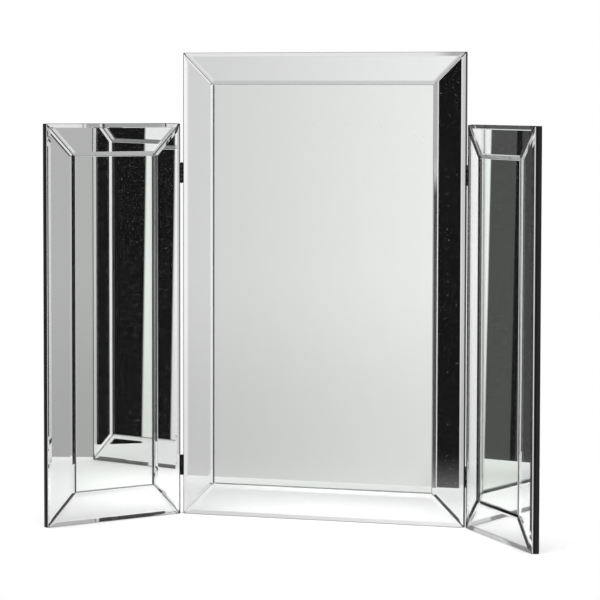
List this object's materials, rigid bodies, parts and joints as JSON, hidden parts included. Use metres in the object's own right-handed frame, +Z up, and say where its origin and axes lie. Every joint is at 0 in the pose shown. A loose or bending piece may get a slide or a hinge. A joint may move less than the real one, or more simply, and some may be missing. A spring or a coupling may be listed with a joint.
{
  "type": "trifold dressing table mirror",
  "caption": "Free-standing trifold dressing table mirror with borders of bevelled mirror strips and lower side wings that fold on butt hinges.",
  "frame": {"origin": "middle of the centre backboard's bottom face, on the table", "axes": "+Z up, mirrors facing -Y, +X to the viewer's right"},
  "size_m": [0.6362, 0.1711, 0.6],
  "materials": {
    "black_board": "fibreboard painted satin black",
    "black_felt": "thin black felt",
    "mirror_plate": "silvered float glass, small polished arris",
    "bevelled_mirror": "silvered float glass, polished bevels all round",
    "mounting_tape": "double-sided foam tape",
    "hinge_leaf": "steel with a dark bronze finish",
    "hinge_pin": "drawn steel, dark",
    "hinge_screw": "steel, dark"
  },
  "bodies": {
    "centre": {"centre_back_felt": "black_felt", "centre_backboard": "black_board", "centre_bottom_strip": "bevelled_mirror", "centre_hinge_screws": "hinge_screw", "centre_left_strip": "bevelled_mirror", "centre_main_mirror": "mirror_plate", "centre_mirror_tape": "mounting_tape", "centre_right_strip": "bevelled_mirror", "centre_strip_tape": "mounting_tape", "centre_top_strip": "bevelled_mirror", "left_lower_hinge_centre_leaf": "hinge_leaf", "left_lower_hinge_pin": "hinge_pin", "left_upper_hinge_centre_leaf": "hinge_leaf", "left_upper_hinge_pin": "hinge_pin", "right_lower_hinge_centre_leaf": "hinge_leaf", "right_lower_hinge_pin": "hinge_pin", "right_upper_hinge_centre_leaf": "hinge_leaf", "right_upper_hinge_pin": "hinge_pin"},
    "left_wing": {"left_lower_hinge_wing_leaf": "hinge_leaf", "left_upper_hinge_wing_leaf": "hinge_leaf", "left_wing_back_felt": "black_felt", "left_wing_backboard": "black_board", "left_wing_bottom_strip": "bevelled_mirror", "left_wing_hinge_screws": "hinge_screw", "left_wing_left_strip": "bevelled_mirror", "left_wing_main_mirror": "mirror_plate", "left_wing_mirror_tape": "mounting_tape", "left_wing_right_strip": "bevelled_mirror", "left_wing_strip_tape": "mounting_tape", "left_wing_top_strip": "bevelled_mirror"},
    "right_wing": {"right_lower_hinge_wing_leaf": "hinge_leaf", "right_upper_hinge_wing_leaf": "hinge_leaf", "right_wing_back_felt": "black_felt", "right_wing_backboard": "black_board", "right_wing_bottom_strip": "bevelled_mirror", "right_wing_hinge_screws": "hinge_screw", "right_wing_left_strip": "bevelled_mirror", "right_wing_main_mirror": "mirror_plate", "right_wing_mirror_tape": "mounting_tape", "right_wing_right_strip": "bevelled_mirror", "right_wing_strip_tape": "mounting_tape", "right_wing_top_strip": "bevelled_mirror"}
  },
  "joints": [
    {"name": "left_wing_fold", "type": "hinge", "parent": "centre", "child": "left_wing", "pos_m": [-0.18925, -0.00725, 0.254], "axis": [0, 0, 1], "range_deg": [-53.2, 101.5]},
    {"name": "right_wing_fold", "type": "hinge", "parent": "centre", "child": "right_wing", "pos_m": [0.18925, -0.00725, 0.254], "axis": [0, 0, -1], "range_deg": [-53.2, 101.5]}
  ]
}
